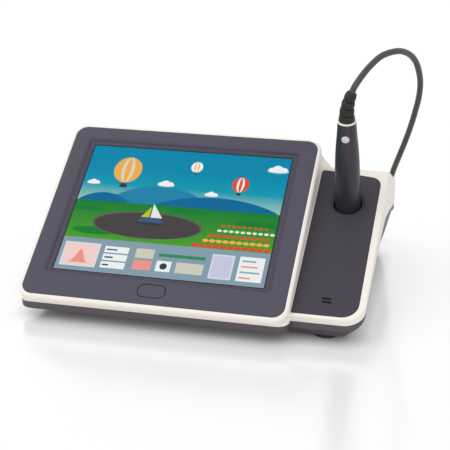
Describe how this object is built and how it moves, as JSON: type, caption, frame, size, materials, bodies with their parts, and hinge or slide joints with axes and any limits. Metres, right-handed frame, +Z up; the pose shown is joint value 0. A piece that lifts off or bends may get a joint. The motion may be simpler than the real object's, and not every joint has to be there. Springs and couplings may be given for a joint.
{
  "type": "tympanometer",
  "caption": "Desk tympanometer with a tilted touch screen, a probe cradle on a lower wing and a corded ear probe.",
  "frame": {"origin": "on the table, under the middle of the case, at the level of the rubber feet", "axes": "+X to the user's right, +Y away from the user towards the rear connections, +Z up"},
  "size_m": [0.2933, 0.3425, 0.205],
  "materials": {
    "white_case": "fine satin moulded plastic",
    "slate_panel": "fine matte moulded plastic",
    "dark_slate": "fine matte moulded plastic",
    "black_plastic": "satin moulded plastic",
    "light_button": "satin moulded plastic",
    "black_rubber": "matte rubber",
    "cord_rubber": "satin cable sheath",
    "screen_glass": "clear glass",
    "screen": "lit display",
    "steel": "plated steel",
    "board": "solder-masked circuit board",
    "chip": "moulded package",
    "clear_plastic": "natural moulded plastic"
  },
  "bodies": {
    "case": {"display_frame": "white_case", "bezel_panel": "slate_panel", "touch_glass": "screen_glass", "lcd_panel": "screen", "lcd_bracket": "steel", "bracket_screws": "steel", "button_board": "board", "top_cover": "white_case", "wing_panel": "dark_slate", "cradle_cup": "black_plastic", "speaker": "black_plastic", "base_shell": "dark_slate", "rubber_feet": "black_rubber", "case_screws": "steel", "main_board": "board", "processor_module": "chip", "board_screws": "steel", "power_board": "board", "flat_cable": "clear_plastic", "pump_motor": "steel", "pump_bracket": "steel", "pump_cylinder": "clear_plastic", "air_tube": "clear_plastic", "air_manifold": "clear_plastic", "relief_valve": "steel", "pressure_sensor": "chip", "connector_plate": "black_plastic", "rear_board": "board", "dc_inlet": "black_plastic", "usb_socket": "steel", "headphone_socket": "black_plastic", "probe_socket": "steel", "cord_drop": "cord_rubber", "cord_coil": "cord_rubber", "cord_tail": "cord_rubber", "probe_plug": "black_plastic", "plug_boot": "black_rubber"},
    "start_button": {"start_button": "slate_panel"},
    "probe": {"handle_front": "black_plastic", "handle_rear": "black_plastic", "handle_ring": "white_case", "cord_boot": "black_rubber", "probe_tip": "black_plastic", "probe_board": "board", "probe_receiver": "steel", "probe_microphone": "steel", "probe_screws": "steel", "probe_cord": "cord_rubber"},
    "probe_button": {"probe_button": "light_button"},
    "piston": {"pump_piston": "steel"}
  },
  "joints": [
    {"name": "start_button_press", "type": "slide", "parent": "case", "child": "start_button", "axis": [0, 0.5592, -0.829], "range_m": [0, 0.0008], "stiffness_N_per_m": 800},
    {"name": "probe_lift", "type": "slide", "parent": "case", "child": "probe", "axis": [0, -0.2924, 0.9563], "range_m": [0, 0.07]},
    {"name": "probe_button_press", "type": "slide", "parent": "probe", "child": "probe_button", "axis": [0, 0.9563, 0.2924], "range_m": [0, 0.0006], "stiffness_N_per_m": 800},
    {"name": "piston_travel", "type": "slide", "parent": "case", "child": "piston", "axis": [1, 0, 0], "range_m": [-0.015, 0.015]}
  ]
}
